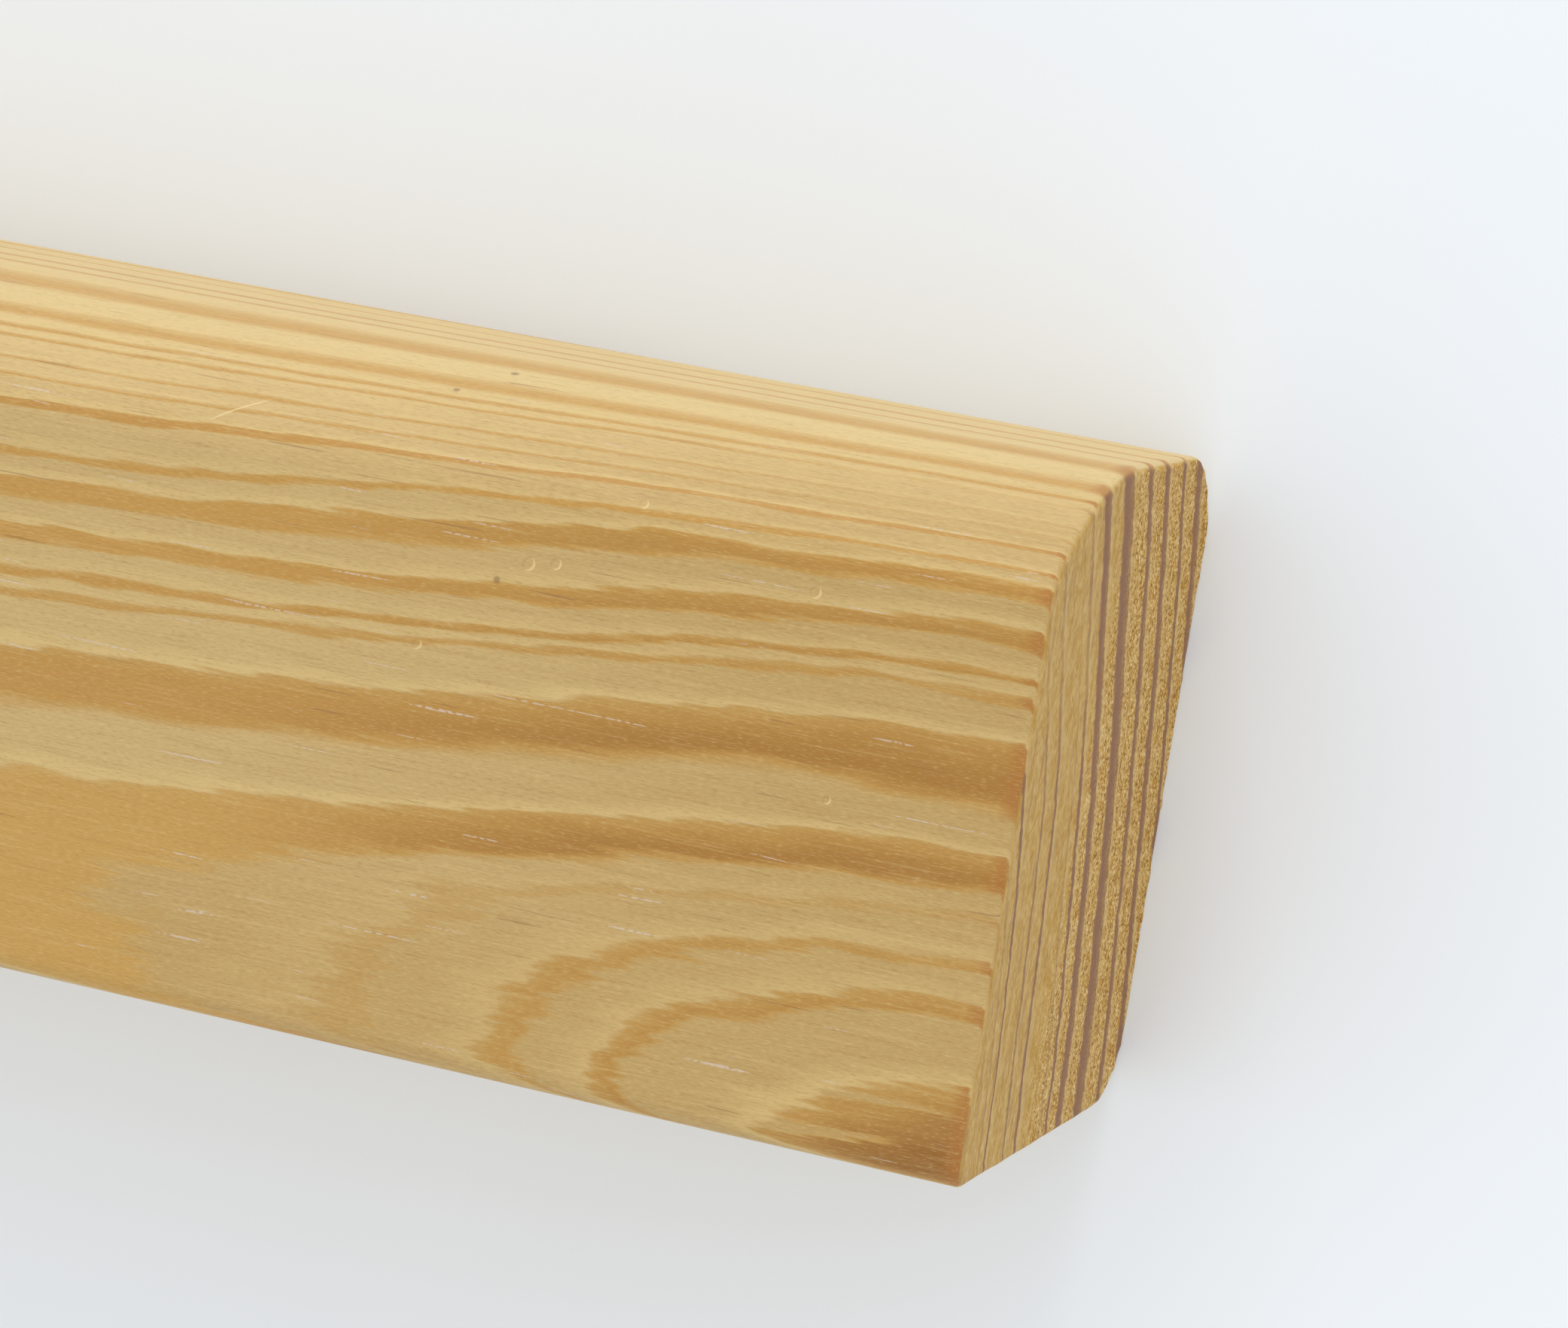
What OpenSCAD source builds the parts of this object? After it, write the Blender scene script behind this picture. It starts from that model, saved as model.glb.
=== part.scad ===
// A planed pine plank lying on its back face: X runs along the grain, Y across the width, Z up.
// Looking at the +X end, the rounded side is on the right and the front face is on top.

/* [Stock] */
// Length along the grain
plank_length = 900; // [300:100:2400]
// Width of the back and front faces
plank_width = 42; // [38:1:70]
// Thickness from the back face to the front face
plank_thickness = 35; // [32:1:50]

/* [Rounded side] */
// Radius of the wide crown that makes most of the rounding
crown_radius = 24; // [20:1:28]
// Radius of the tight shoulder where the rounding meets the front face
shoulder_radius = 4; // [2:0.5:8]
// Radius of the long edge between the rounded side and the back face
rounded_back_radius = 6.5; // [2:0.5:8]

/* [Plain side] */
// Radius of the long edge between the plain side and the back face
plain_back_radius = 5; // [2:0.5:8]
// Radius of the long edge between the plain side and the front face
plain_front_radius = 1.3; // [1.1:0.1:4]

/* [Ends] */
// Ease on the arris round each crosscut end
end_ease = 0.7; // [0.2:0.1:0.9]

/* [Hidden] */
$fn = 96;
// Distance that a cutter reaches past what it cuts
overrun = 0.1;
// Pale honey colour of planed pine
pine_color = [0.80, 0.64, 0.40];
half_width = plank_width / 2;

// Direction from the crown's centre to where it hands over to the shoulder, across and up
handover_shares = [0.8, 0.6];
handover = atan2(handover_shares[1], handover_shares[0]);
// How far the whole rounding runs across the front face, and down the side
crown_inset = crown_radius - (crown_radius - shoulder_radius) * handover_shares[0];
crown_run = shoulder_radius + (crown_radius - shoulder_radius) * handover_shares[1];

// Arcs of the section, anticlockwise from the plain back edge: centre, radius, first and last angle
plain_back = [[-half_width + plain_back_radius, plain_back_radius], plain_back_radius, 180, 270];
rounded_back = [[half_width - rounded_back_radius, rounded_back_radius], rounded_back_radius, 270, 360];
crown = [[half_width - crown_radius, plank_thickness - crown_run], crown_radius, 0, handover];
shoulder = [[half_width - crown_inset, plank_thickness - shoulder_radius], shoulder_radius, handover, 90];
plain_front = [[-half_width + plain_front_radius, plank_thickness - plain_front_radius],
    plain_front_radius, 90, 180];
arcs = [plain_back, rounded_back, crown, shoulder, plain_front];

function centre(arc) = arc[0];
function radius(arc) = arc[1];
function on_arc(arc, angle) = centre(arc) + radius(arc) * [cos(angle), sin(angle)];
function first_point(arc) = on_arc(arc, arc[2]);
function last_point(arc) = on_arc(arc, arc[3]);
function next_arc(i) = arcs[(i + 1) % len(arcs)];

// Wedge from an arc's centre that takes in the whole arc and nothing beyond its two ends
module arc_wedge(arc) {
    reach = 2 * radius(arc);
    polygon([[0, 0], for (angle = [arc[2], arc[3]]) reach * [cos(angle), sin(angle)]]);
}

// Slice of a disc under one arc of the section
module arc_slice(arc) {
    translate(centre(arc))
        intersection() {
            circle(radius(arc));
            arc_wedge(arc);
        }
}

// Section of the stock: straight faces joined by the five arcs
module section() {
    polygon([
        for (arc = [plain_back, rounded_back]) each [first_point(arc), centre(arc), last_point(arc)],
        first_point(crown), centre(crown), centre(shoulder), last_point(shoulder),
        first_point(plain_front), centre(plain_front), last_point(plain_front)
    ]);
    for (arc = arcs) arc_slice(arc);
}

// Outline of the waste that easing takes off: distance out from an axis, then depth from the end
module ease_waste(face_distance) {
    inner = face_distance - end_ease - overrun;
    outer = face_distance + overrun;
    polygon([[inner, -overrun], [outer, -overrun], [outer, end_ease + overrun]]);
}

// Waste off the end of one arc, as a turned ring cut to the arc's wedge
module arc_waste(arc) {
    translate(centre(arc))
        intersection() {
            rotate_extrude() ease_waste(radius(arc));
            translate([0, 0, -2 * overrun]) linear_extrude(end_ease + 4 * overrun) arc_wedge(arc);
        }
}

// Waste off the end of the straight side that runs on from an arc
module side_waste(arc, side_length) {
    translate(last_point(arc))
        rotate(arc[3])
            rotate([90, 0, 0])
                mirror([0, 0, 1])
                    linear_extrude(side_length)
                        ease_waste(0);
}

// Waste round one whole end, for stock that starts at Z = 0 with its section flat
module end_waste() {
    for (i = [0 : len(arcs) - 1]) {
        side_length = norm(first_point(next_arc(i)) - last_point(arcs[i]));
        arc_waste(arcs[i]);
        if (side_length > overrun) side_waste(arcs[i], side_length);
    }
}

module plank() {
    color(pine_color)
        rotate([90, 0, 90])
            difference() {
                translate([0, 0, -plank_length / 2])
                    linear_extrude(plank_length)
                        section();
                for (flip = [0, 1])
                    mirror([0, 0, flip])
                        translate([0, 0, -plank_length / 2])
                            end_waste();
            }
}

plank();
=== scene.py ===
# A planed pine plank lying on its back face, looked down on at its cut end.
import math

import bpy
from mathutils import Matrix, Vector, noise


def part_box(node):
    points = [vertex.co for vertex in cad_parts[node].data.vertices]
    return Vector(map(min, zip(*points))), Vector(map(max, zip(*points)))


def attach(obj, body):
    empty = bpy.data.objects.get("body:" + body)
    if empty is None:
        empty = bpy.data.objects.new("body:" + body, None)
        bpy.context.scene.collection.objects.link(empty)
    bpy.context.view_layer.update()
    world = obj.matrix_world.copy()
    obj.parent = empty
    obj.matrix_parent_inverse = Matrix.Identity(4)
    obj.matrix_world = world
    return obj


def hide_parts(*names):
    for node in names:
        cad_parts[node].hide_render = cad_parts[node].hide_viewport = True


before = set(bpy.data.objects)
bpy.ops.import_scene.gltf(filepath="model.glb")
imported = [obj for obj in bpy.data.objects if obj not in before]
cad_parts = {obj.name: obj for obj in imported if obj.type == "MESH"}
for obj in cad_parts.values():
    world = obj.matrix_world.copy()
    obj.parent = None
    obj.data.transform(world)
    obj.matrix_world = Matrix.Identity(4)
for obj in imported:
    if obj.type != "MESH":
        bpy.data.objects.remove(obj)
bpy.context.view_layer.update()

MM = 0.001

# Overall size of the stock in millimetres, from the frame
_, stock_high = (Vector(corner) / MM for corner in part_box("plank"))
half_length = stock_high.x
stock_length = 2 * half_length
half_width = stock_high.y
thickness = stock_high.z

# Edges of the section in millimetres, each with the mesh steps round it
crown_radius, crown_steps = 24.0, 30
shoulder_radius, shoulder_steps = 4.0, 12
rounded_back_radius, rounded_back_steps = 6.5, 20
plain_back_radius, plain_back_steps = 5.0, 14
plain_front_radius, plain_front_steps = 1.3, 7
# Mesh steps along the flat sides between them
back_face_steps, front_face_steps = 60, 60
rounded_side_steps, plain_side_steps = 22, 24
# Direction from the crown's centre to where it hands over to the shoulder, across and up
handover_shares = (0.8, 0.6)

# Eased arris round each end, in millimetres: softened by hand, but sharp and torn along the back
front_ease = 0.4
rounded_ease = 0.6
back_ease = 0.35
ease_wander = 0.1
torn_wander = 0.16
ease_steps = 7
# Heights over the back face between which the sanding comes in, and places across between which it grows
# to that of the rounded side
sanded_heights = (2.0, 14.0)
rounded_places = (6.0, 16.0)

# Fibres torn out along the grain at the back edge, and a lip that the saw pulled out by the rounded edge
torn_fuzz = 0.13
fuzz_heights = (3.0, 0.5)
torn_lip = 0.3
lip_height = 1.2
lip_starts = (11.0, 16.6)
lip_stops = (17.4, 16.9)

# Depth of the sawn end grain under the flat of an end, and of the broad and the fine waves in it
sawn_depth = 0.05
broad_sawing = 0.05
fine_sawing = 0.035

# Waves in a millimetre of each unevenness of an end, and a shift that makes the two ends differ
sanding_waves, tearing_waves, fuzz_waves = 0.35, 3.7, 2.6
broad_sawing_waves, fine_sawing_waves = 0.9, 2.3
arris_shift, fuzz_shift, sawing_shift = 7.0, 5.0, 11.0

# Spacing of the mesh in millimetres: fine by the cut end that shows its grain, coarse further off
fine_reach = 84.0
fine_step = 0.5
coarse_step = 8.5
end_rings = 60
far_end_rings = 16


def outline_arc(centre, radius, first, last, steps):
    """Points and outward directions along an arc of the section, without its last point."""
    made = []
    for step in range(steps):
        angle = math.radians(first + (last - first) * step / steps)
        out = Vector((math.cos(angle), math.sin(angle)))
        made.append((centre + radius * out, out))
    return made


def outline_side(start, end, steps):
    """Points and outward directions along a straight side, without its last point."""
    start = Vector(start)
    run = Vector(end) - start
    out = Vector((run.y, -run.x)).normalized()
    return [(start + run * step / steps, out) for step in range(steps)]


def section_outline():
    """The section in Y and Z, anticlockwise as seen from the +X end."""
    crown_inset = crown_radius - (crown_radius - shoulder_radius) * handover_shares[0]
    crown_run = shoulder_radius + (crown_radius - shoulder_radius) * handover_shares[1]
    handover = math.degrees(math.atan2(handover_shares[1], handover_shares[0]))
    left, right, top = -half_width, half_width, thickness
    plain_back = Vector((left + plain_back_radius, plain_back_radius))
    rounded_back = Vector((right - rounded_back_radius, rounded_back_radius))
    crown = Vector((right - crown_radius, top - crown_run))
    shoulder = Vector((right - crown_inset, top - shoulder_radius))
    plain_front = Vector((left + plain_front_radius, top - plain_front_radius))
    return (
        outline_arc(plain_back, plain_back_radius, 180, 270, plain_back_steps)
        + outline_side((plain_back.x, 0), (rounded_back.x, 0), back_face_steps)
        + outline_arc(rounded_back, rounded_back_radius, 270, 360, rounded_back_steps)
        + outline_side((right, rounded_back.y), (right, crown.y), rounded_side_steps)
        + outline_arc(crown, crown_radius, 0, handover, crown_steps)
        + outline_arc(shoulder, shoulder_radius, handover, 90, shoulder_steps)
        + outline_side((shoulder.x, top), (plain_front.x, top), front_face_steps)
        + outline_arc(plain_front, plain_front_radius, 90, 180, plain_front_steps)
        + outline_side((left, plain_front.y), (left, plain_back.y), plain_side_steps)
    )


def length_stations():
    """Places along X between the two eased ends, from -X to +X: the coarse ones and the fine ones."""
    flat_end = half_length - rounded_ease - 2 * ease_wander - torn_wander
    fine_start = half_length - fine_reach
    coarse_count = round((fine_start + flat_end) / coarse_step)
    fine_count = round((flat_end - fine_start) / fine_step)
    coarse = [-flat_end + (fine_start + flat_end) * i / coarse_count for i in range(coarse_count)]
    fine = [fine_start + (flat_end - fine_start) * i / fine_count for i in range(fine_count + 1)]
    return coarse, fine


def smooth_share(value, low, high):
    """0 before low and 1 past high, with a smooth rise between; high may be the lower one."""
    share = min(max((value - low) / (high - low), 0.0), 1.0)
    return share * share * (3 - 2 * share)


def unevenness(point, side, shift, waves):
    """Smooth noise about 0 at one place of an end."""
    return noise.noise(Vector((point.x, point.y, side * shift)) * waves)


def ease_at(point, side):
    """Depth of the eased arris at one place of the outline: sanded by hand, so never quite even."""
    sanded = smooth_share(point.y, *sanded_heights)
    full_ease = front_ease + (rounded_ease - front_ease) * smooth_share(point.x, *rounded_places)
    ease = back_ease + (full_ease - back_ease) * sanded
    ease += ease_wander * sanded * unevenness(point, side, arris_shift, sanding_waves)
    return ease + torn_wander * (1 - sanded) * unevenness(point, side, arris_shift, tearing_waves)


def fuzz_at(point, side):
    """How far torn fibres stick out along the grain at the sharp back edge of an end."""
    standing_out = max(unevenness(point, side, fuzz_shift, fuzz_waves), 0.0)
    return torn_fuzz * smooth_share(point.y, *fuzz_heights) * standing_out


def lip_at(point, side):
    """How far the saw pulled fibres out past the back edge of the cut end, beside the rounded edge."""
    if side < 0 or point.y > lip_height:
        return 0.0
    return torn_lip * smooth_share(point.x, *lip_starts) * smooth_share(point.x, *lip_stops)


def end_relief(point, side):
    """How far the sawn end grain lies under the flat of the end, in millimetres."""
    broad = broad_sawing * unevenness(point, side, sawing_shift, broad_sawing_waves)
    fine = fine_sawing * unevenness(point, side, sawing_shift, fine_sawing_waves)
    return sawn_depth + broad + fine


class PlankMesh:
    """Collects the plank's rings of points and its faces, with a place on the bake map for each corner."""

    def __init__(self):
        self.points = []
        self.faces = []
        self.corners = []

    def ring(self, spots):
        """Adds a ring of points, and gives their marks for the faces."""
        first = len(self.points)
        self.points.extend(spots)
        return list(range(first, first + len(spots)))

    def face(self, marks, places):
        self.faces.append(marks)
        self.corners.extend(places)


# Places on the bake map, as shares of it: three strips of the length beside a finer strip of the cut end
strip_count = 3
strip_width_share = 0.622
strip_gap_share = 0.004
fine_left_share = 0.630
fine_height_share = 0.66
# Caps of the two ends, the cut end first: size of a millimetre, left edge and bottom edge
cap_scale_shares = (0.0058, 0.0030)
cap_left_shares = (0.632, 0.885)
cap_bottom_share = 0.675


def eased_ring(outline, side, turn):
    """Points of an end's arris at one turn, from 0 on the long faces to 90 degrees on the end."""
    spots = []
    for point, out in outline:
        ease = ease_at(point, side)
        sunk = point - out * (ease * (1 - math.cos(turn)) - lip_at(point, side) * math.sin(turn))
        reach = half_length - ease * (1 - math.sin(turn)) + fuzz_at(point, side) * math.sin(turn)
        spots.append(Vector((side * reach, sunk.x, max(sunk.y, 0.0))))
    return spots


def shares_round(outline):
    """Share of the way round the section at each point of the outline, and 1 at the end."""
    runs = [0.0]
    for (point, _), (after, _) in zip(outline, outline[1:] + outline[:1]):
        runs.append(runs[-1] + (after - point).length)
    return [run / runs[-1] for run in runs]


def build_plank_mesh():
    outline = section_outline()
    columns = len(outline)
    coarse, fine = length_stations()
    mesh = PlankMesh()

    turns = [math.radians(90) * step / ease_steps for step in range(ease_steps + 1)]
    rings = [eased_ring(outline, -1, turn) for turn in reversed(turns)]
    rings += [[Vector((x, point.x, point.y)) for point, _ in outline] for x in coarse + fine]
    rings += [eased_ring(outline, 1, turn) for turn in turns]

    # Distance of each ring along the grain and share of each column round the section, for the bake map
    runs = [0.0]
    for before, after in zip(rings, rings[1:]):
        runs.append(runs[-1] + (after[0] - before[0]).length)
    rounds = shares_round(outline)
    fine_ring = len(turns) + len(coarse)
    strip_starts = [round(fine_ring * i / strip_count) for i in range(strip_count)] + [fine_ring]
    longest = max(runs[b] - runs[a] for a, b in zip(strip_starts, strip_starts[1:]))

    def corner(ring, column, strip):
        if strip == strip_count:
            across = (runs[ring] - runs[fine_ring]) / (runs[-1] - runs[fine_ring])
            return (fine_left_share + (1 - strip_gap_share - fine_left_share) * across,
                    strip_gap_share + (fine_height_share - strip_gap_share) * rounds[column])
        across = (runs[ring] - runs[strip_starts[strip]]) / longest
        height = 1 / strip_count
        return (strip_gap_share + (strip_width_share - strip_gap_share) * across,
                height * strip + strip_gap_share + (height - 2 * strip_gap_share) * rounds[column])

    marks = [mesh.ring(spots) for spots in rings]
    for ring in range(len(marks) - 1):
        strip = sum(ring >= start for start in strip_starts[1:])
        for column in range(columns):
            after = (column + 1) % columns
            mesh.face(
                (marks[ring][column], marks[ring][after], marks[ring + 1][after], marks[ring + 1][column]),
                (corner(ring, column, strip), corner(ring, column + 1, strip),
                 corner(ring + 1, column + 1, strip), corner(ring + 1, column, strip)),
            )

    close_end(mesh, rings[-1], marks[-1], 1, end_rings)
    close_end(mesh, rings[0], marks[0], -1, far_end_rings)
    return mesh


def close_end(mesh, border, border_marks, side, count):
    """Closes one end with rings that shrink to its middle, roughened as sawn end grain."""
    which = 0 if side > 0 else 1
    scale = cap_scale_shares[which]
    middle = Vector((0, thickness / 2))
    columns = len(border)

    def sawn(point):
        return Vector((side * (half_length - end_relief(point, side)), point.x, point.y))

    def place(point):
        return (cap_left_shares[which] + (point.x + half_width) * scale,
                cap_bottom_share + point.y * scale)

    flat = [Vector((spot.y, spot.z)) for spot in border]
    levels = [[point.lerp(middle, level / count) for point in flat] for level in range(count)]
    marks = [border_marks] + [mesh.ring([sawn(point) for point in points]) for points in levels[1:]]
    tip = mesh.ring([sawn(middle)])[0]
    marked = [list(zip(level_marks, points)) for level_marks, points in zip(marks, levels)]
    for level in range(count):
        for column in range(columns):
            after = (column + 1) % columns
            loop = [marked[level][column], marked[level][after]]
            if level + 1 < count:
                loop += [marked[level + 1][after], marked[level + 1][column]]
            else:
                loop.append((tip, middle))
            if side < 0:
                loop.reverse()
            mesh.face(tuple(mark for mark, _ in loop), [place(point) for _, point in loop])


def add_plank():
    made = build_plank_mesh()
    data = bpy.data.meshes.new("plank_grain")
    data.from_pydata([spot * MM for spot in made.points], [], made.faces)
    places = data.uv_layers.new(name="OFBake")
    places.data.foreach_set("uv", [value for place in made.corners for value in place])
    data.polygons.foreach_set("use_smooth", [True] * len(data.polygons))
    data.update()
    plank = bpy.data.objects.new("pine_plank", data)
    bpy.context.collection.objects.link(plank)
    return plank


# Smooth noise runs from 0 to 1 about this middle, and its shift has these shares along, across and through
cloud_middle = 0.5
cloud_shift_shares = (1.0, 1.7, 2.3)


class Wire:
    """One socket of a material's node tree, with arithmetic that adds Math nodes."""

    def __init__(self, tree, socket=None):
        self.tree = tree
        self.socket = socket

    def node(self, kind, settings=None, inputs=None, output=0):
        """Adds a node: its settings first, then the values or links of its sockets."""
        made = self.tree.nodes.new(kind)
        for name, value in (settings or {}).items():
            if name == "stops":
                elements = made.color_ramp.elements
                elements[0].position, elements[0].color = value[0]
                elements[1].position, elements[1].color = value[-1]
                for position, colour in value[1:-1]:
                    elements.new(position).color = colour
            elif name == "points":
                points = made.mapping.curves[0].points
                points[0].location = value[0]
                points[1].location = value[-1]
                for place in value[1:-1]:
                    points.new(*place)
                made.mapping.update()
            else:
                setattr(made, name, value)
        for key, value in (inputs or {}).items():
            if isinstance(value, Wire):
                self.tree.links.new(value.socket, made.inputs[key])
            else:
                made.inputs[key].default_value = value
        return Wire(self.tree, made.outputs[output] if made.outputs else None)

    def maths(self, operation, *values):
        return self.node("ShaderNodeMath", {"operation": operation}, dict(enumerate(values)))

    def vectors(self, operation, other, output=0):
        return self.node("ShaderNodeVectorMath", {"operation": operation}, {0: self, 1: other}, output)

    def __add__(self, other):
        return self.maths("ADD", self, other)

    def __radd__(self, other):
        return self.maths("ADD", other, self)

    def __sub__(self, other):
        return self.maths("SUBTRACT", self, other)

    def __rsub__(self, other):
        return self.maths("SUBTRACT", other, self)

    def __mul__(self, other):
        return self.maths("MULTIPLY", self, other)

    def __rmul__(self, other):
        return self.maths("MULTIPLY", other, self)

    def __truediv__(self, other):
        return self.maths("DIVIDE", self, other)

    def most(self, other):
        return self.maths("MAXIMUM", self, other)

    def root(self):
        return self.maths("SQRT", self)

    def size(self):
        return self.maths("ABSOLUTE", self)

    def part(self, axis):
        return self.node("ShaderNodeSeparateXYZ", {}, {0: self}, axis)

    def rises(self, low, high):
        """0 before low and 1 past high, with a smooth rise between; high may be the lower one."""
        return self.node("ShaderNodeMapRange", {"interpolation_type": "SMOOTHSTEP"},
                         {"Value": self, "From Min": low, "From Max": high})

    def follows(self, course):
        """Value of a given course at this distance from the cut end, in millimetres."""
        low = min(value for _, value in course)
        span = max(value for _, value in course) - low
        points = [(at / stock_length, (value - low) / span) for at, value in course]
        curve = self.node("ShaderNodeFloatCurve", {"points": points}, {"Value": self / stock_length})
        return curve * span + low

    def clouds(self, along, across, detail=0.0, shift=0.0, through=None):
        """Smooth noise from 0 to 1 over a place, in waves of these lengths in millimetres."""
        waves = (1 / along, 1 / across, 1 / (through or across))
        shifts = tuple(shift * share for share in cloud_shift_shares)
        moved = self.node("ShaderNodeVectorMath", {"operation": "MULTIPLY_ADD"},
                          {0: self, 1: waves, 2: shifts})
        return self.node("ShaderNodeTexNoise", {}, {"Vector": moved, "Scale": 1.0, "Detail": detail})

    def blend(self, first, second):
        """Goes from the first colour to the second as this value goes from 0 to 1."""
        return self.node("ShaderNodeMix", {"data_type": "RGBA"}, {0: self, 6: first, 7: second}, 2)


def total(wires):
    """Sum of a few wires."""
    first, *rest = wires
    for wire in rest:
        first = first + wire
    return first


def paint(red, green, blue):
    """A colour as it is seen on a screen, 0 to 255, as the linear colour that a shader takes."""
    shares = [value / 255 for value in (red, green, blue)]
    linear = [s / 12.92 if s <= 0.04045 else ((s + 0.055) / 1.055) ** 2.4 for s in shares]
    return (*linear, 1.0)


def empty_material(name):
    """A new material, and the first wire of its empty node tree."""
    material = bpy.data.materials.new(name)
    material.use_nodes = True
    material.node_tree.nodes.clear()
    return material, Wire(material.node_tree)


# Places in the wood are given in millimetres: along is the distance from the cut end, rise that from the
# plain side, depth that under the front face, and radius that from the tree's pith. A pair of them says
# where something starts to show and where it is full.

# Courses along the grain, as distances from the cut end and values there, in millimetres:
# how far the tree's pith lies in front of the front face,
pith_course = [(0, 72.7), (7, 72.75), (14, 73.05), (21, 73.25), (27, 73.55), (33, 73.95), (39, 74.35),
               (45, 74.7), (51, 75.0), (64, 75.45), (120, 76.2), (200, 75.2), (300, 72.6), (390, 74.2),
               (480, 77.2), (570, 76.0), (650, 73.2), (740, 74.4), (820, 76.3), (900, 75.6)]
# how much the rings of the lower front face swing away from that,
low_wave_course = [(0, 0.0), (7, 0.05), (14, 0.1), (21, 0.25), (27, 0.35), (33, 0.3), (39, 0.25),
                   (45, 0.15), (51, 0.05), (57, -0.1), (64, -0.15), (120, 0.1), (900, 0.0)]
low_wave_rises = (36, 29)
# and how much they swell by the plain side, which makes the arches of the front face
foot_swell_course = [(0, 0.0), (3, 0.05), (8, 0.22), (12, 0.42), (18, 0.65), (21, 0.92), (24, 1.2),
                     (27, 1.45), (30, 1.56), (36, 1.75), (39, 1.83), (42, 1.8), (46, 1.66), (54, 1.7),
                     (60, 1.88), (68, 2.0), (90, 1.5), (130, 0.0), (900, 0.0)]
foot_reach = 11.5
# How far the pith lies under the plain side
pith_under = 8.4

# How far the rings stray from true circles, in millimetres: out behind the lower front face,
flatten_by, flatten_rises = 1.9, (28, 6)
flatten_starts, flatten_stops = (1, 7), (17, 11)
# in towards the pith on the crown and low on the back,
crown_lag_by, crown_lag_rises = 0.6, (28, 42)
back_lag_by, back_lag_depths, back_lag_rises = 0.9, (14, 36), (15, 2)
# and to and fro in sways and bends, which grow far from the cut end, in jags and in frayed edges
far_along = (60, 140)
sway_by, bend_by, far_bend_by, jag_by, fray_by = 3.6, 0.45, 0.6, 0.4, 0.2

# Patterns of the wood: lengths of a wave along and across the grain in millimetres, detail, shift, and the
# length through the plank where it isn't that across
sway_waves = (140, 26)
bend_waves = (30, 8, 0.0, 3.1)
jag_waves = (9, 1.6, 1.0, 5.7)
fray_waves = (4.0, 0.32, 0.0, 8.2)
patch_waves = (55, 9, 0.0, 1.3)
fibre_waves = (0.5, 0.07, 1.0, 2.2)
streak_waves = (4.0, 0.13, 0.0, 4.4)
canal_waves = (7.0, 0.22, 0.0, 9.4)
bead_waves = (0.3, 0.2, 0.0, 6.6)
fine_pore_waves = (0.7, 0.5, 1.0, 3.3, 0.12)
torn_pore_waves = (0.7, 0.19, 1.0, 7.7)
mottle_waves = (3.0, 1.6, 1.0, 12.1, 0.7)
end_streak_waves = (3.0, 3.2, 0.0, 15.3, 0.3)

# Levels of a pattern or a tone at which something starts to show and at which it is full
core_levels, dense_levels, arris_levels = (0.45, 1.0), (0.0, 0.7), (0.0, 0.6)
dark_fibre_levels, light_fibre_levels = (0.5, 0.2), (0.5, 0.8)
dark_streak_levels, light_streak_levels = (0.42, 0.2), (0.58, 0.8)
pale_canal_levels, dark_canal_levels, bead_levels = (0.8, 0.83), (0.2, 0.17), (0.3, 0.58)
mottle_levels, end_streak_levels, line_levels = (0.3, 0.7), (0.56, 0.8), (0.0, 0.9)
dark_pore_levels, light_pore_levels = (0.48, 0.32), (0.53, 0.7)

# Latewood of each growth ring on the planed faces, from the pith out: outer radius and width in
# millimetres, and depth of tone
face_rings = [
    (66.9, 0.6, 0.8), (68.5, 0.4, 0.7), (70.0, 0.5, 0.8), (71.5, 0.5, 0.8), (72.7, 0.4, 0.7),
    (74.05, 1.25, 1.0), (75.3, 0.34, 0.66), (76.05, 0.3, 0.6), (76.85, 0.24, 0.34), (78.15, 1.1, 1.0),
    (80.7, 1.5, 1.0), (81.95, 0.28, 0.62), (82.45, 0.3, 0.76), (83.55, 0.53, 0.96), (84.9, 0.72, 1.0),
    (85.7, 0.3, 0.76), (87.2, 0.42, 1.0), (88.45, 0.42, 0.62), (89.75, 0.42, 0.66), (91.85, 0.5, 0.76),
    (92.9, 0.62, 0.85), (95.4, 1.9, 0.78), (100.6, 3.2, 0.76), (103.9, 1.0, 0.85), (107.4, 1.25, 0.85),
    (111.1, 0.7, 0.8), (114.8, 1.0, 0.85), (118.2, 0.9, 0.85), (121.6, 1.0, 0.85), (124.8, 0.8, 0.85),
]

# The same rings on the sawn ends, where only the denser part shows as a line
end_lines = [
    (70.0, 0.4, 0.5), (72.7, 0.35, 0.4), (74.05, 0.4, 0.4), (76.05, 0.25, 0.25), (78.15, 0.4, 0.4),
    (80.2, 0.5, 0.9), (84.4, 0.4, 0.65), (86.95, 0.48, 0.85), (90.4, 0.3, 0.4), (91.95, 0.5, 0.95),
    (95.1, 1.4, 1.0), (99.65, 2.15, 1.0), (103.65, 0.95, 0.95), (107.3, 1.2, 1.0), (110.75, 0.7, 0.9),
    (114.5, 1.4, 0.95), (118.2, 0.9, 0.9), (121.6, 1.0, 0.9), (124.8, 0.8, 0.9),
]

# How the tone of a ring and of a line builds up: room before the dense wood, share of its width at which
# it is full, reach of the pale wood after it, and whether the rings of the rounded side are softer
face_ring_shape = {"lead": 0.0, "full_share": 0.62, "pale_reach": 0.35, "soft": True}
end_line_shape = {"lead": 0.15, "full_share": 0.8, "pale_reach": 0.8, "soft": False}

# Rings that one ramp of tones takes, the room before its first and after its last ring, and how far
# a ring's sharp outer edge reaches in and out
rings_a_ramp = 6
ramp_before, ramp_after = 0.3, 0.2
edge_inside, edge_outside = 0.05, 0.03

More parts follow.
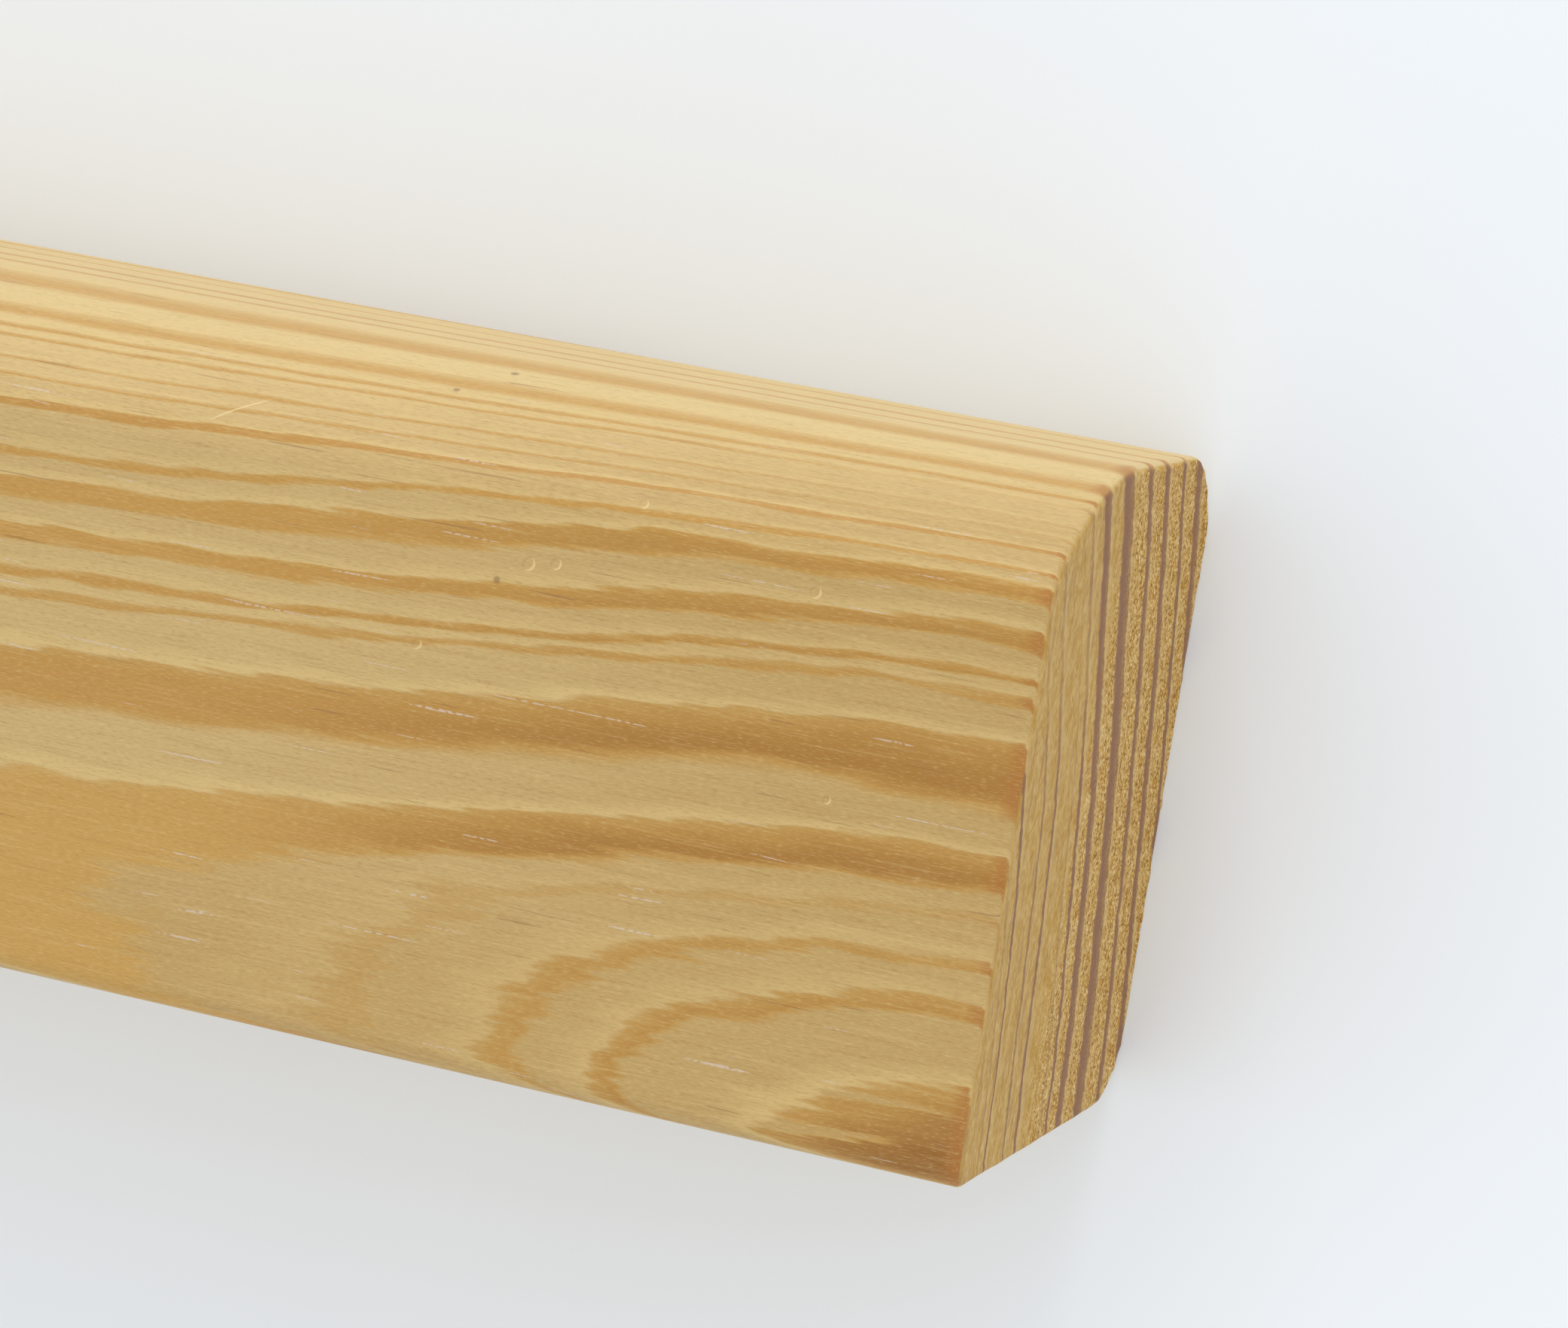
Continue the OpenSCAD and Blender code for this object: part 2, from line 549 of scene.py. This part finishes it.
# Tone left at the outer edge of a ring's dense wood: in thin rings, in bands as wide as this, and in the
# soft rings of the rounded side, from this radius out
thin_edge_share, band_edge_share, soft_edge_share = 0.75, 0.5, 0.3
band_width = 0.8
soft_from = 88.0

# Widening of the broadest band towards its pale side, by the cut end
band_spread_by, band_spread_along = 0.4, (16, 3)
band_spread_starts, band_spread_stops = (78.15, 78.6), (80.5, 79.2)

# Pale gaps in the dense wood at the near corner: rise at the arris, rise and half width this far along the
# grain, and how far from the arris the gap starts
corner_gap_run = 10.0
corner_gap_rises = [(4.45, 4.2, 0.5, 0.5), (2.2, 1.65, 0.42, 3.5)]
# Half width at the arris, stretch over which a gap comes in, and shares of its half width at its edge
corner_gap_tip, corner_gap_fade, corner_gap_edge_shares = 0.05, 3.0, (1.0, 0.5)
# Rings that have gaps, how far the streaks of the grain fray them, and the tone that they take away
corner_gap_radii = (74.6, 74.2)
corner_gap_stray, corner_gap_share = 0.7, 0.68

# Bands that fade along the shoulder by the cut end, and lines that fade on the sawn end under it
band_fade_along, band_fade_share = (34, 8), 0.6
band_fade_starts, band_fade_stops = (87.5, 88.1), (92.5, 92.0)
line_fade_rises, line_fade_radii, line_fade_share = (22, 31), (94, 92.5), 0.55

# Small dents: distance from the cut end, height from the plain side, depth under the front face, and size
dents = [(31.9, 31.2, 0, 0.46), (30.2, 31.5, 0, 0.4), (14.1, 32.8, 0, 0.42), (38.2, 25.2, 0, 0.36),
         (25.5, 35.9, 0.5, 0.34), (11.5, 21.0, 0, 0.3)]
# Way from the middle of a dent to its wall that gets a painted highlight, and reaches of its floor and
# walls, as shares of its size; the facing wall gets painted shade
dent_lean_shares = (0.42, -0.24, 0.0)
dent_floor_share = 0.8
dent_wall_shares = (0.9, 1.15)

# Dark pits, given in the same way
pits = [(33.75, 29.9, 0, 0.3), (38.3, 41.2, 9.8, 0.36), (40.5, 39.9, 6.25, 0.3)]
pit_floor_share = 0.4

# A thin scratch over the shoulder: the places of its two ends in the part's millimetres, the way it faces,
# its half width with the share that is full, and the stretch that fades at each end
scratch_ends = ((396.0, 14.8, 34.55), (399.5, 16.8, 32.6))
scratch_facing = (0.0, 0.6, 0.8)
scratch_width, scratch_core_share, scratch_fade = 0.09, 0.3, 1.0


def ring_radius(place, along, rise, depth):
    """Distance from the pith, bent by the way that the tree grew."""
    across = rise + pith_under
    out = depth + along.follows(pith_course)
    round_pith = (across * across + out * out).root()
    low_wave = along.follows(low_wave_course) * rise.rises(*low_wave_rises)
    foot_swell = along.follows(foot_swell_course) * (1 - rise / foot_reach).most(0.0)
    behind_face = depth.rises(*flatten_starts) * depth.rises(*flatten_stops)
    flatten = behind_face * rise.rises(*flatten_rises) * flatten_by
    crown_lag = rise.rises(*crown_lag_rises) * crown_lag_by
    back_lag = depth.rises(*back_lag_depths) * rise.rises(*back_lag_rises) * back_lag_by
    far = along.rises(*far_along)
    sway = (place.clouds(*sway_waves) - cloud_middle) * far * sway_by
    bend = (place.clouds(*bend_waves) - cloud_middle) * (far * far_bend_by + bend_by)
    jag = (place.clouds(*jag_waves) - cloud_middle) * jag_by
    fray = (place.clouds(*fray_waves) - cloud_middle) * fray_by
    grown = round_pith + low_wave + foot_swell + flatten - crown_lag - back_lag
    return grown + sway + bend + jag + fray


def band_spread(radius, along):
    """How much the broadest band of the front face widens towards its pale side, by the cut end."""
    in_band = along.rises(*band_spread_along) * radius.rises(*band_spread_starts)
    return in_band * radius.rises(*band_spread_stops) * band_spread_by


def corner_gaps(radius, along, rise):
    """1 in the pale gaps that split the dense wood at the near corner into tongues, 0 away from them."""
    inward = along / corner_gap_run
    gaps = []
    for by_arris, further_in, spread, start in corner_gap_rises:
        aside = (rise - by_arris - inward * (further_in - by_arris)).size()
        off = aside / (inward * spread + corner_gap_tip)
        gaps.append(off.rises(*corner_gap_edge_shares) * along.rises(start, start + corner_gap_fade))
    return total(gaps) * radius.rises(*corner_gap_radii)


def edge_share(outer, width, soft):
    """Share of a ring's tone that is left at the outer edge of its dense wood."""
    if soft and outer > soft_from:
        return soft_edge_share
    return band_edge_share if width >= band_width else thin_edge_share


def ring_tones(radius, rings, lead, full_share, pale_reach, soft):
    """Tone of the dense wood that closes each ring, and of the pale wood after its sharp outer edge."""
    dark = []
    pale = []
    for first in range(0, len(rings), rings_a_ramp):
        group = rings[first:first + rings_a_ramp]
        low = group[0][0] - group[0][1] - lead - ramp_before
        high = group[-1][0] + pale_reach + ramp_after
        stops = [(low, 0.0, 0.0)]
        for outer, width, tone in group:
            stops += [
                (outer - width - lead, 0.0, 0.0),
                (outer - full_share * width, tone, 0.0),
                (outer - edge_inside, edge_share(outer, width, soft) * tone, 0.0),
                (outer + edge_outside, 0.0, tone),
                (outer + pale_reach, 0.0, 0.0),
            ]
        stops.append((high, 0.0, 0.0))
        shares = [((at - low) / (high - low), (tone, light, 0.0, 1.0)) for at, tone, light in stops]
        ramp = radius.node("ShaderNodeValToRGB", {"stops": shares}, {0: (radius - low) / (high - low)})
        dark.append(radius.node("ShaderNodeSeparateColor", {}, {0: ramp}, "Red"))
        pale.append(radius.node("ShaderNodeSeparateColor", {}, {0: ramp}, "Green"))
    return total(dark), total(pale)


def spot_on_plank(from_end, height, under):
    return Vector((half_length - from_end, height - half_width, thickness - under))


def gap_from(place, spot):
    return place.vectors("DISTANCE", spot, "Value")


def painted_dent_light_and_shade(place):
    """1 on the wall of each dent that gets a painted highlight, and 1 on its wall that gets painted shade:
    crescents that face each other.
    """
    painted_highlight = []
    painted_shade = []
    for from_end, height, under, size in dents:
        middle = spot_on_plank(from_end, height, under)
        lean = Vector(dent_lean_shares) * size
        wall = [share * size for share in dent_wall_shares]
        inside = gap_from(place, middle).rises(size, dent_floor_share * size)
        painted_highlight.append(inside * gap_from(place, middle - lean).rises(*wall))
        painted_shade.append(inside * gap_from(place, middle + lean).rises(*wall))
    return total(painted_highlight), total(painted_shade)


def pit_marks(place):
    """1 in each pit, 0 away from them."""
    return total([
        gap_from(place, spot_on_plank(from_end, height, under)).rises(size, pit_floor_share * size)
        for from_end, height, under, size in pits])


def scratch_mark(place):
    """1 along the scratch, 0 away from it."""
    first, last = (Vector(spot) for spot in scratch_ends)
    run = last - first
    half_run = run.length / 2
    way = run.normalized()
    beside = way.cross(Vector(scratch_facing)).normalized()
    offset = place.vectors("SUBTRACT", (first + last) / 2)
    down = offset.vectors("DOT_PRODUCT", way, "Value").size()
    aside = offset.vectors("DOT_PRODUCT", beside, "Value").size()
    core = scratch_core_share * scratch_width
    return down.rises(half_run, half_run - scratch_fade) * aside.rises(scratch_width, core)


# Colours of the planed faces: pale wood in darker and lighter patches, by the cut end and further off,
early_dark = (paint(182, 147, 85), paint(191, 159, 99))
early_light = (paint(188, 157, 96), paint(198, 169, 111))
# the crown's pale wood, partly paler sapwood and partly painted sheen,
early_sapwood_and_sheen = paint(212, 184, 124)
early_fresh = paint(214, 185, 120)
# dense wood at the soft side of a band and in its core, and where it is browner or paler,
late_soft = paint(183, 137, 59)
late_core = paint(183, 135, 61)
late_browned = paint(162, 112, 34)
late_corner = paint(142, 90, 12)
late_bleached = paint(191, 148, 72)
late_golden = paint(195, 149, 68)
# dense wood of the crown, partly paler sapwood and partly painted sheen,
late_sapwood_and_sheen = paint(201, 161, 92)
late_arris = paint(168, 106, 32)
# and fibres, resin canals and marks of use, with a painted highlight and painted shade on the walls of the
# dents
fibre_dark, fibre_light = paint(154, 114, 56), paint(214, 186, 126)
canal_pale, canal_dark = paint(208, 188, 170), paint(134, 92, 50)
scratch_pale = paint(230, 204, 150)
# painted shade and painted highlight for the two walls of a dent
dent_painted_shade, dent_painted_highlight = paint(150, 112, 58), paint(232, 204, 142)
pit_dark = paint(128, 92, 44)

# Where each of them shows on the planed faces
# the pale crown: partly paler sapwood, partly painted sheen of the lit rounded side
sapwood_and_sheen_radii = (86, 97)
paler_along, paler_rises = (8, 52), (3, 14)
browned_along, browned_radii = (56, 20), (86.8, 84.5)
corner_along, corner_radii = (18, 5), (75.0, 74.2)
bleached_along, bleached_radii = (34, 54), (78.9, 78.2)
golden_starts, golden_stops = (81, 84), (86.7, 86.2)
arris_along = (1.5, 0.3)
canal_along = (0.8, 2.0)

# How much of what lies under them they cover
fresh_share, golden_share, late_sapwood_and_sheen_share, arris_share = 0.6, 0.4, 0.6, 0.7
dark_fibre_share, light_fibre_share, streak_share = 0.38, 0.42, 0.2
pale_canal_share, dark_canal_share = 0.72, 0.4
# the scratch, the dents' painted shade and painted highlight, and the pits
scratch_share, dent_painted_shade_share, dent_painted_highlight_share, pit_share = 0.6, 0.22, 0.65, 0.6
# Share of the fibres that a dense band hides, and of the canals that the pale crown hides, which is partly
# sapwood and partly painted sheen
band_hides_share, sapwood_and_sheen_hides_share = 0.2, 0.7

# Colours of the sawn ends, each in the fine wood in front and in the torn wood behind
sawn_dark = (paint(182, 140, 57), paint(184, 135, 34))
sawn_light = (paint(197, 161, 91), paint(200, 163, 87))
pore_dark = (paint(162, 115, 40), paint(136, 86, 8))
pore_light = (paint(216, 186, 130), paint(224, 194, 138))
# and those of the pale wood after a line, of brown streaks and of the smooth lines
after_line_pale = paint(206, 177, 124)
end_streak_brown = paint(154, 118, 86)
line_dark, line_light = paint(128, 88, 59), paint(148, 106, 74)

# Depths of the torn wood, the pores that show in the fine wood, and how the end's finishes cover others
torn_depths = (10, 17)
fine_pore_share = 0.5
after_line_share, after_line_hides_share, end_streak_share = 0.6, 0.6, 0.45
# How squarely a spot faces along the grain where end grain starts and is full, and where its pores open
end_facing, pore_facing = (0.6, 0.95), (0.85, 1.0)

# Roughness of the planed face and what fibres and end grain add to it, and the relief of fibres and pores,
# with the height in millimetres that a relief of 1 stands for
face_roughness, fibre_roughness, end_roughness = 0.48, 0.1, 0.3
fibre_height, pore_height = 0.5, 1.5
bump_strength, bump_height = 0.5, 0.05


class PlankWood:
    """Where a spot of the plank lies in the tree, and the fibres and growth rings there, as wires."""

    def __init__(self, start):
        spot = start.node("ShaderNodeTexCoord", output="Object")
        facing = start.node("ShaderNodeTexCoord", output="Normal")
        self.place = start.node("ShaderNodeVectorMath", {"operation": "SCALE"}, {0: spot, "Scale": 1 / MM})
        self.along = half_length - self.place.part("X")
        self.rise = self.place.part("Y") + half_width
        self.depth = thickness - self.place.part("Z")
        self.end_grain = facing.part("X").size().rises(*end_facing)
        self.radius = ring_radius(self.place, self.along, self.rise, self.depth)
        self.fibre = self.place.clouds(*fibre_waves)
        self.streak = self.place.clouds(*streak_waves)
        self.torn = self.depth.rises(*torn_depths)
        fine_pores = self.place.clouds(*fine_pore_waves)
        torn_pores = self.place.clouds(*torn_pore_waves)
        self.pores = fine_pores * (1 - self.torn) + torn_pores * self.torn
        open_share = fine_pore_share + (1 - fine_pore_share) * self.torn
        self.open_pores = open_share * self.end_grain.rises(*pore_facing)

    def face_tones(self):
        """Dense wood of the rings on the planed faces, and the pale wood after each."""
        spread = self.radius + band_spread(self.radius, self.along)
        late, fresh = ring_tones(spread, face_rings, **face_ring_shape)
        strayed = self.rise + (self.streak - cloud_middle) * corner_gap_stray
        late = late * (1 - corner_gap_share * corner_gaps(self.radius, self.along, strayed))
        fade = self.along.rises(*band_fade_along) * self.radius.rises(*band_fade_starts)
        fade = fade * self.radius.rises(*band_fade_stops)
        return late * (1 - band_fade_share * fade), fresh

    def end_tones(self):
        """Lines of the rings on the sawn ends, and the pale wood after each."""
        line, after_line = ring_tones(self.radius, end_lines, **end_line_shape)
        fade = line_fade_share * self.rise.rises(*line_fade_rises) * self.radius.rises(*line_fade_radii)
        return line * (1 - fade), after_line


def planed_face(wood):
    """Honey earlywood, orange latewood that is browner by the cut end, fibres, resin canals and marks,
    with painted highlight and shade on the dent walls.
    """
    late, fresh = wood.face_tones()
    # The pale crown is partly paler sapwood and partly painted sheen.
    sapwood_and_sheen = wood.radius.rises(*sapwood_and_sheen_radii)
    paler = wood.along.rises(*paler_along) * wood.rise.rises(*paler_rises)
    early = wood.place.clouds(*patch_waves).blend(paler.blend(*early_dark), paler.blend(*early_light))
    early = sapwood_and_sheen.blend(early, early_sapwood_and_sheen)
    early = (fresh * fresh_share).blend(early, early_fresh)

    browned = wood.along.rises(*browned_along) * wood.radius.rises(*browned_radii)
    core = browned.blend(late_core, late_browned)
    by_corner = wood.along.rises(*corner_along) * wood.radius.rises(*corner_radii)
    core = by_corner.blend(core, late_corner)
    dense = late.rises(*core_levels).blend(late_soft, core)
    bleached = wood.along.rises(*bleached_along) * wood.radius.rises(*bleached_radii)
    dense = bleached.blend(dense, late_bleached)
    golden = wood.radius.rises(*golden_starts) * wood.radius.rises(*golden_stops)
    dense = (golden * golden_share).blend(dense, late_golden)
    dense = (sapwood_and_sheen * late_sapwood_and_sheen_share).blend(dense, late_sapwood_and_sheen)
    face = late.rises(*dense_levels).blend(early, dense)
    by_arris = wood.along.rises(*arris_along) * late.rises(*arris_levels)
    face = (by_arris * arris_share).blend(face, late_arris)

    clear = 1 - band_hides_share * late
    dark = wood.fibre.rises(*dark_fibre_levels) * dark_fibre_share
    dark = dark + wood.streak.rises(*dark_streak_levels) * streak_share
    light = wood.fibre.rises(*light_fibre_levels) * light_fibre_share
    light = light + wood.streak.rises(*light_streak_levels) * streak_share
    face = (dark * clear).blend(face, fibre_dark)
    face = (light * clear).blend(face, fibre_light)

    canal = wood.place.clouds(*canal_waves)
    beads = wood.place.clouds(*bead_waves).rises(*bead_levels)
    dotted = canal.rises(*pale_canal_levels) * beads * (1 - sapwood_and_sheen_hides_share * sapwood_and_sheen)
    dotted = dotted * wood.along.rises(*canal_along)
    face = (dotted * pale_canal_share).blend(face, canal_pale)
    face = (canal.rises(*dark_canal_levels) * dark_canal_share).blend(face, canal_dark)

    face = (scratch_mark(wood.place) * scratch_share).blend(face, scratch_pale)
    # The dents get painted shade on one wall and a painted highlight on the other; they have no relief
    painted_highlight, painted_shade = painted_dent_light_and_shade(wood.place)
    face = (painted_shade * dent_painted_shade_share).blend(face, dent_painted_shade)
    face = (painted_highlight * dent_painted_highlight_share).blend(face, dent_painted_highlight)
    return (pit_marks(wood.place) * pit_share).blend(face, pit_dark)


def sawn_end(wood):
    """Fine earlywood in front, torn earlywood behind, open pores, and smooth purple-brown latewood."""
    line, after_line = wood.end_tones()
    mottle = wood.place.clouds(*mottle_waves).rises(*mottle_levels)
    end = mottle.blend(wood.torn.blend(*sawn_dark), wood.torn.blend(*sawn_light))
    end = (after_line * after_line_share).blend(end, after_line_pale)
    speckled = wood.open_pores * (1 - after_line_hides_share * after_line)
    end = (wood.pores.rises(*dark_pore_levels) * speckled).blend(end, wood.torn.blend(*pore_dark))
    end = (wood.pores.rises(*light_pore_levels) * speckled).blend(end, wood.torn.blend(*pore_light))
    streaks = wood.place.clouds(*end_streak_waves).rises(*end_streak_levels) * (1 - wood.torn)
    end = (streaks * end_streak_share).blend(end, end_streak_brown)
    return line.rises(*line_levels).blend(end, wood.pores.blend(line_dark, line_light))


def pine_material():
    """Planed pine with sawn ends, whose growth rings run on from face to face."""
    material, start = empty_material("planed_pine")
    wood = PlankWood(start)
    colour = wood.end_grain.blend(planed_face(wood), sawn_end(wood))
    rough = face_roughness + fibre_roughness * wood.fibre + end_roughness * wood.end_grain
    relief = wood.fibre * (1 - wood.end_grain) * fibre_height + wood.pores * wood.open_pores * pore_height
    normal = start.node("ShaderNodeBump", {}, {
        "Strength": bump_strength, "Distance": bump_height * MM, "Height": relief})
    shader = start.node("ShaderNodeBsdfPrincipled", {}, {
        "Base Color": colour, "Roughness": rough, "Normal": normal})
    start.node("ShaderNodeOutputMaterial", {}, {"Surface": shader})
    return material


# The floor: half its width in metres, its colour and the slightly darker one of its faint mottle
floor_reach = 4.0
floor_colour = paint(240, 245, 250)
floor_mottle_share = 0.985
floor_mottle_colour = (*(value * floor_mottle_share for value in floor_colour[:3]), 1.0)
floor_mottle_scale, floor_mottle_detail = 30.0, 2.0
floor_roughness = 0.9


def floor_material():
    """A quiet paper-like finish with a faint mottle."""
    material, start = empty_material("pale_floor")
    place = start.node("ShaderNodeTexCoord", output="Object")
    mottle = start.node("ShaderNodeTexNoise", {}, {
        "Vector": place, "Scale": floor_mottle_scale, "Detail": floor_mottle_detail})
    shader = start.node("ShaderNodeBsdfPrincipled", {}, {
        "Base Color": mottle.blend(floor_colour, floor_mottle_colour), "Roughness": floor_roughness})
    start.node("ShaderNodeOutputMaterial", {}, {"Surface": shader})
    return material


def add_floor():
    corners = [(x * floor_reach, y * floor_reach, 0) for x, y in ((-1, -1), (1, -1), (1, 1), (-1, 1))]
    data = bpy.data.meshes.new("floor")
    data.from_pydata(corners, [], [(0, 1, 2, 3)])
    floor = bpy.data.objects.new("floor", data)
    floor.data.materials.append(floor_material())
    bpy.context.collection.objects.link(floor)


# Soft daylight: a wide low window, with the way its light falls, and an even sky
window_energy = 1.0
window_angle = math.radians(31)
window_way = (0.1, -2.4, -0.75)
sky_colour = (0.975, 0.987, 1.0, 1.0)
sky_strength = 0.96


def add_light():
    """An even sky, and a window that brightens the rounded side."""
    window = bpy.data.lights.new("side_window", "SUN")
    window.energy = window_energy
    window.angle = window_angle
    lamp = bpy.data.objects.new("side_window", window)
    lamp.rotation_euler = Vector(window_way).to_track_quat("-Z", "Y").to_euler()
    bpy.context.collection.objects.link(lamp)
    world = bpy.data.worlds.new("even_sky")
    world.use_nodes = True
    sky = world.node_tree.nodes["Background"]
    sky.inputs["Color"].default_value = sky_colour
    sky.inputs["Strength"].default_value = sky_strength
    bpy.context.scene.world = world


# The view: where it stands round the cut end's near corner, and where that corner falls in the picture
picture_width, picture_height = 2083, 1764
corner_pixel = (1271.5, 1583.7)
view_turn = math.radians(17.71)
view_rise = math.radians(7.79)
view_roll = math.radians(8.82)
focal_pixels = 6788
view_distance = 296.0 * MM
nearest_view = 10.0 * MM
sensor_width = 36.0


def add_camera():
    """A camera above the front face, turned so that the near corner falls where the picture has it."""
    back = Vector((math.sin(view_turn) * math.cos(view_rise), math.sin(view_rise),
                   math.cos(view_turn) * math.cos(view_rise)))
    level = Vector((math.cos(view_turn), 0, -math.sin(view_turn)))
    climb = back.cross(level)
    right = math.cos(view_roll) * level + math.sin(view_roll) * climb
    top = math.cos(view_roll) * climb - math.sin(view_roll) * level
    corner = Vector((half_length, -half_width, thickness)) * MM
    over = (corner_pixel[0] - picture_width / 2) / focal_pixels * view_distance
    under = (corner_pixel[1] - picture_height / 2) / focal_pixels * view_distance
    lens = bpy.data.cameras.new("view")
    lens.sensor_width = sensor_width
    lens.lens = focal_pixels / picture_width * sensor_width
    lens.clip_start = nearest_view
    camera = bpy.data.objects.new("view", lens)
    camera.matrix_world = Matrix((right, top, back)).transposed().to_4x4()
    camera.location = corner - over * right + under * top + view_distance * back
    bpy.context.collection.objects.link(camera)
    bpy.context.scene.camera = camera


bpy.context.scene.view_settings.view_transform = "Standard"
plank = add_plank()
plank.data.materials.append(pine_material())
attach(plank, "root")
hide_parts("plank")
add_floor()
add_light()
add_camera()
